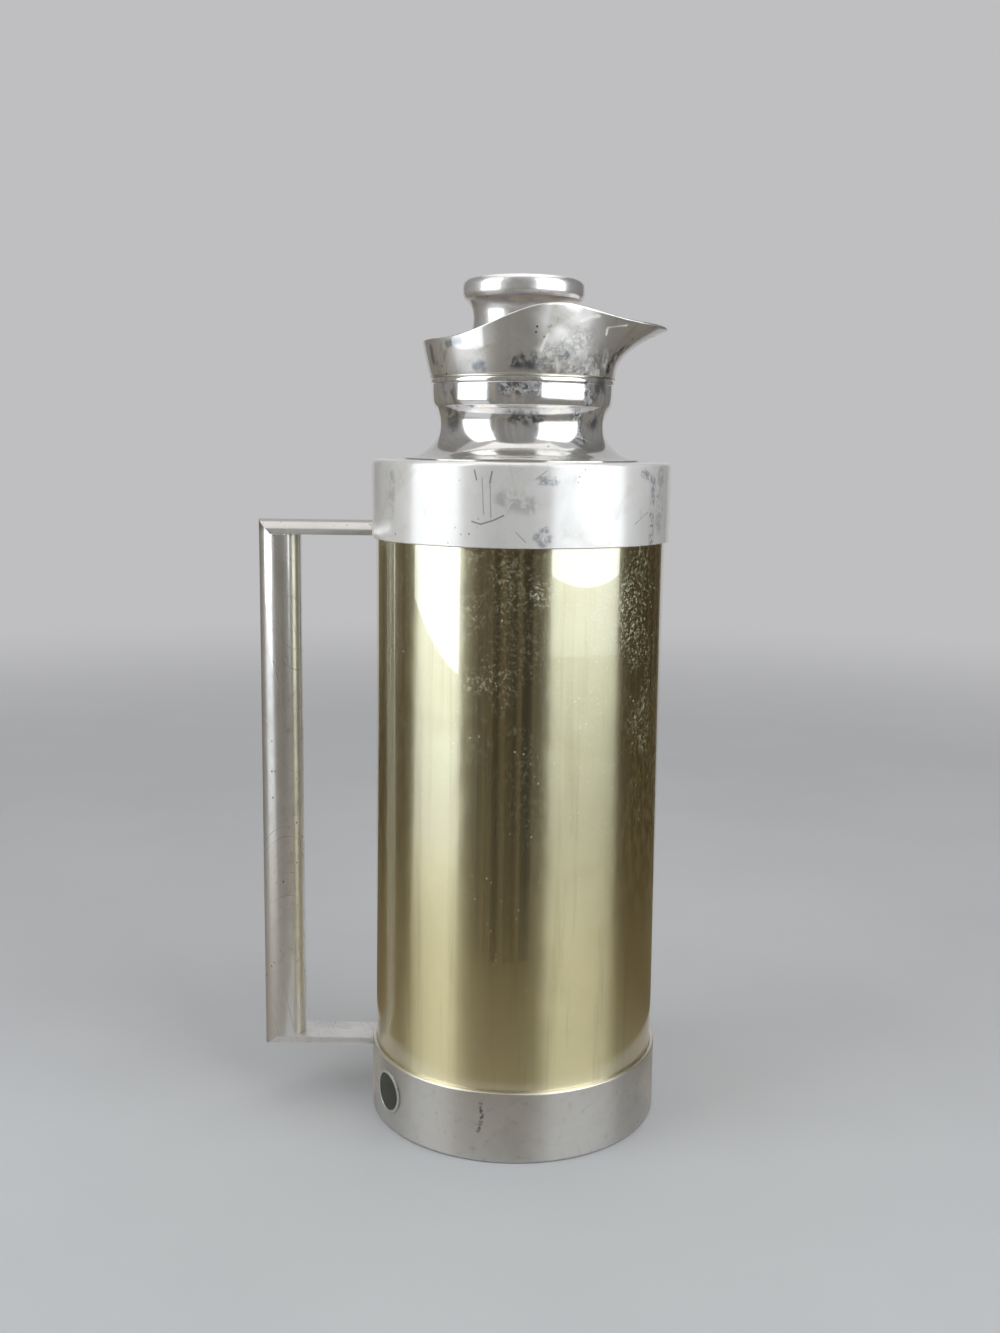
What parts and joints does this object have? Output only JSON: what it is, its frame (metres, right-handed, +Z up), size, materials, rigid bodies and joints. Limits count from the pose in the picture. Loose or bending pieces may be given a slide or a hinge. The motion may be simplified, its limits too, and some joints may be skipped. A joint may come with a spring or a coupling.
{
  "type": "insulated jug",
  "caption": "Tall insulated serving jug: glass vacuum flask in a brass sleeve between silver-plated bands, bell neck, pouring collar, straight-barred handle and lift-out stopper.",
  "frame": {"origin": "centre of the base cap's underside, on the axis of the jug and on the table", "axes": "+Z up along the axis of the jug, +X towards the pouring lip, the handle on -X"},
  "size_m": [0.1607, 0.116, 0.331],
  "materials": {
    "silver_plate": "silver plate on brass, polished and lightly tarnished",
    "satin_silver": "silver plate on brass, worn to satin",
    "polished_brass": "brass, fine turning lines round it under lacquer, speckled",
    "plain_brass": "turned brass",
    "flask_glass": "clear glass silvered inside the vacuum",
    "ceramic_pad": "matt",
    "black_rubber": "moulded rubber",
    "brown_plastic": "moulded dark brown plastic",
    "screw_steel": "zinc-plated steel",
    "dark_enamel": "dark enamel"
  },
  "bodies": {
    "jug": {"lower_band": "satin_silver", "upper_band": "silver_plate", "brass_sleeve": "polished_brass", "neck_bell": "silver_plate", "seam_ring": "polished_brass", "spout_collar": "silver_plate", "outer_flask": "flask_glass", "inner_flask": "flask_glass", "spacer_pads": "ceramic_pad", "neck_gasket": "black_rubber", "mouth_ring": "brown_plastic", "base_ring": "plain_brass", "handle_grip": "silver_plate", "handle_upper_arm": "silver_plate", "handle_lower_arm": "silver_plate", "handle_screws": "screw_steel", "handle_washers": "screw_steel", "badge_bezel": "silver_plate", "badge_disc": "dark_enamel"},
    "stopper": {"stopper_knob": "silver_plate", "knob_boss": "plain_brass", "stopper_plug": "brown_plastic", "plug_seal_rings": "black_rubber", "stopper_gasket": "black_rubber", "stopper_washer": "screw_steel", "stopper_screw": "screw_steel"},
    "flask_seat": {"flask_cushion": "black_rubber"},
    "base_closure": {"base_cap": "brown_plastic", "base_cap_gasket": "black_rubber"}
  },
  "joints": [
    {"name": "stopper_lift", "type": "slide", "parent": "jug", "child": "stopper", "axis": [0, 0, 1], "range_m": [0, 0.07]},
    {"name": "seat_drop", "type": "slide", "parent": "jug", "child": "flask_seat", "axis": [0, 0, -1], "range_m": [0, 0.0055]},
    {"name": "cap_turn", "type": "hinge", "parent": "flask_seat", "child": "base_closure", "pos_m": [0, 0, 0], "axis": [0, 0, -1], "range_deg": [0, 630]}
  ],
  "couplings": [
    {"joint": "seat_drop", "follows": "cap_turn", "m_per_rad": 0.00047746}
  ]
}
